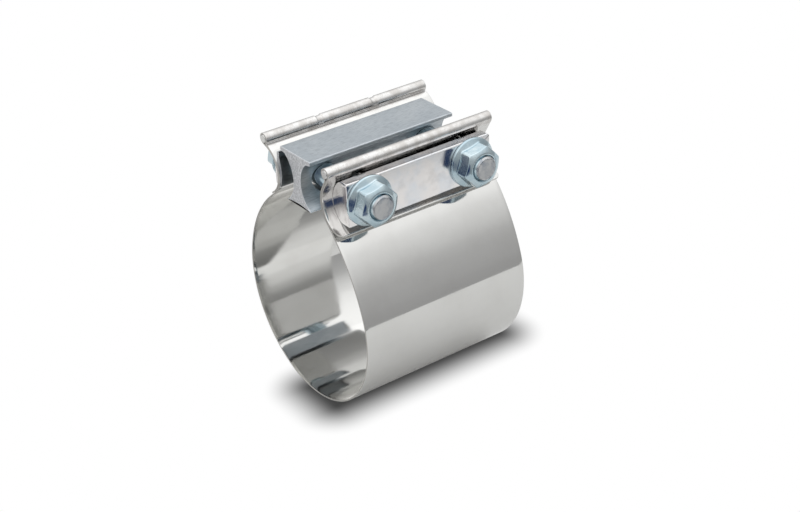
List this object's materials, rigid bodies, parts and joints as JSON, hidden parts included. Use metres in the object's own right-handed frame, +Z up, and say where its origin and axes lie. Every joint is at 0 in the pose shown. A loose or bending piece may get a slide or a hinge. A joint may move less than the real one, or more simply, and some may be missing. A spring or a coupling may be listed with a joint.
{
  "type": "butt joint exhaust clamp",
  "caption": "Wide sheet-steel pipe clamp whose folded ends wrap D-shaped bars and are drawn together over a spacer block by bolts.",
  "frame": {"origin": "centre of the pipe hole, half way along the band", "axes": "+Y along the pipe hole, from the front end to the rear; +Z up, towards the bolts; +X towards the nuts"},
  "size_m": [0.0782, 0.0732, 0.1023],
  "materials": {
    "band": "polished stainless sheet",
    "rods": "bright drawn wire",
    "block": "satin extrusion",
    "bars": "bright zinc plate",
    "hardware": "clear blue zinc plate"
  },
  "bodies": {
    "clamp": {"band": "band", "nut_side_rod": "rods", "head_side_rod": "rods", "spacer_block": "block", "nut_side_bar": "bars", "head_side_bar": "bars"},
    "front_screw": {"front_bolt": "hardware"},
    "rear_screw": {"rear_bolt": "hardware"},
    "front_nut_body": {"front_nut": "hardware"},
    "rear_nut_body": {"rear_nut": "hardware"}
  },
  "joints": [
    {"name": "front_nut_turn", "type": "hinge", "parent": "clamp", "child": "front_nut_body", "pos_m": [0.0301, -0.0228, 0.049], "axis": [1, 0, 0], "range_deg": [0, 1440]},
    {"name": "front_screw_slide", "type": "slide", "parent": "clamp", "child": "front_screw", "axis": [-1, 0, 0], "range_m": [0, 0.00635]},
    {"name": "rear_nut_turn", "type": "hinge", "parent": "clamp", "child": "rear_nut_body", "pos_m": [0.0301, 0.0228, 0.049], "axis": [1, 0, 0], "range_deg": [0, 1440]},
    {"name": "rear_screw_slide", "type": "slide", "parent": "clamp", "child": "rear_screw", "axis": [-1, 0, 0], "range_m": [0, 0.00635]}
  ],
  "couplings": [
    {"joint": "front_nut_turn", "follows": "front_screw_slide", "rad_per_m": 3957.9},
    {"joint": "rear_nut_turn", "follows": "rear_screw_slide", "rad_per_m": 3957.9}
  ]
}
